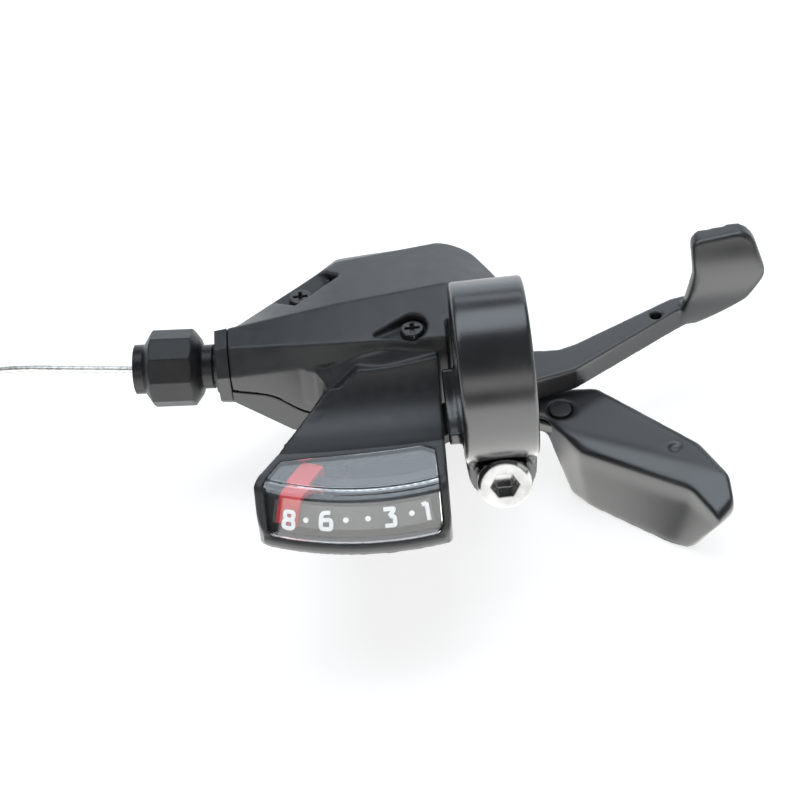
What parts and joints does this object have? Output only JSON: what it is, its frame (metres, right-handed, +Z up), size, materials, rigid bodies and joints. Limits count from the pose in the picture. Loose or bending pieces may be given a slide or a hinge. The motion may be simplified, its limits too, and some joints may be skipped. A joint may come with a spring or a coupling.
{
  "type": "trigger gear shifter",
  "caption": "Right-hand trigger gear shifter for a flat handlebar: clamp ring, covered ratchet, gear window, thumb paddle, finger trigger and barrel cable adjuster",
  "frame": {"origin": "centre of the handlebar bore of the clamp ring", "axes": "+X along the bar towards the grip, +Y forward away from the rider, +Z up along the lever axle"},
  "size_m": [0.1864, 0.0729, 0.0474],
  "materials": {
    "cover": "fine satin texture, black",
    "clamp_paint": "satin black",
    "bolt_chrome": "bright plated",
    "lens": "clear moulded",
    "dial": "dark grey",
    "pointer_red": "plain red",
    "lever_plastic": "satin black",
    "adjuster_plastic": "satin black",
    "spool_plastic": "natural white",
    "dark_screw": "black oxide",
    "plate_steel": "plated, blanked",
    "turned_steel": "plated, turned",
    "spring_steel": "hard drawn",
    "cable_steel": "stranded"
  },
  "bodies": {
    "body": {"clamp_bracket": "clamp_paint", "clamp_bolt": "bolt_chrome", "top_cover": "cover", "lower_cover": "cover", "neck_cover": "cover", "cover_screws": "dark_screw", "cover_posts": "turned_steel", "window_lens": "lens", "dial_plate": "dial", "base_plate": "plate_steel", "main_axle": "turned_steel", "axle_clip": "turned_steel", "axle_nut": "turned_steel", "lever_washers": "turned_steel", "spacer_bush": "spool_plastic", "release_spring": "spring_steel", "thumb_spring": "spring_steel", "spool_spring": "spring_steel", "pointer_pin": "turned_steel", "holding_pawl_pin": "turned_steel", "end_collar": "cover", "cable_inside": "cable_steel", "cable_run": "cable_steel", "cable_coil": "cable_steel"},
    "thumb_lever": {"thumb_arm": "plate_steel", "thumb_paddle": "lever_plastic", "paddle_rivet": "dark_screw", "feed_pawl_pin": "turned_steel"},
    "feed_pawl": {"feed_pawl": "plate_steel"},
    "holding_pawl": {"holding_pawl": "plate_steel"},
    "release_lever": {"release_trigger": "lever_plastic"},
    "spool": {"cable_spool": "spool_plastic", "ratchet_wheel": "plate_steel", "cable_head": "cable_steel"},
    "pointer": {"gear_pointer": "pointer_red"},
    "adjuster": {"barrel_adjuster": "adjuster_plastic"}
  },
  "joints": [
    {"name": "thumb_push", "type": "hinge", "parent": "body", "child": "thumb_lever", "pos_m": [-0.015, 0.0285, -0.0238], "axis": [0, 0, 1], "range_deg": [0, 45], "stiffness_Nm_per_rad": 0.05, "springref_deg": -17.19},
    {"name": "feed_pawl_lift", "type": "hinge", "parent": "thumb_lever", "child": "feed_pawl", "pos_m": [-0.01163, 0.04106, -0.0125], "axis": [0, 0, -1], "range_deg": [0, 8], "stiffness_Nm_per_rad": 0.002, "springref_deg": -11.46},
    {"name": "holding_pawl_lift", "type": "hinge", "parent": "body", "child": "holding_pawl", "pos_m": [-0.02648, 0.0346, -0.0125], "axis": [0, 0, -1], "range_deg": [0, 8], "stiffness_Nm_per_rad": 0.002, "springref_deg": -11.46},
    {"name": "trigger_pull", "type": "hinge", "parent": "body", "child": "release_lever", "pos_m": [-0.015, 0.0285, -0.0181], "axis": [0, 0, 1], "range_deg": [-14, 0], "stiffness_Nm_per_rad": 0.05, "springref_deg": 17.19},
    {"name": "spool_turn", "type": "hinge", "parent": "body", "child": "spool", "pos_m": [-0.015, 0.0285, -0.0106], "axis": [0, 0, 1], "range_deg": [0, 98], "stiffness_Nm_per_rad": 0.02, "springref_deg": -28.65},
    {"name": "pointer_swing", "type": "hinge", "parent": "body", "child": "pointer", "pos_m": [-0.01822, 0.01559, -0.014], "axis": [0, 0, 1], "range_deg": [0, 27.69]},
    {"name": "adjuster_turn", "type": "hinge", "parent": "body", "child": "adjuster", "pos_m": [-0.05, 0.0204, -0.0106], "axis": [-0.9954, 0.0958, 0], "continuous": true}
  ],
  "couplings": [
    {"joint": "pointer_swing", "follows": "spool_turn", "ratio": 0.28149}
  ]
}
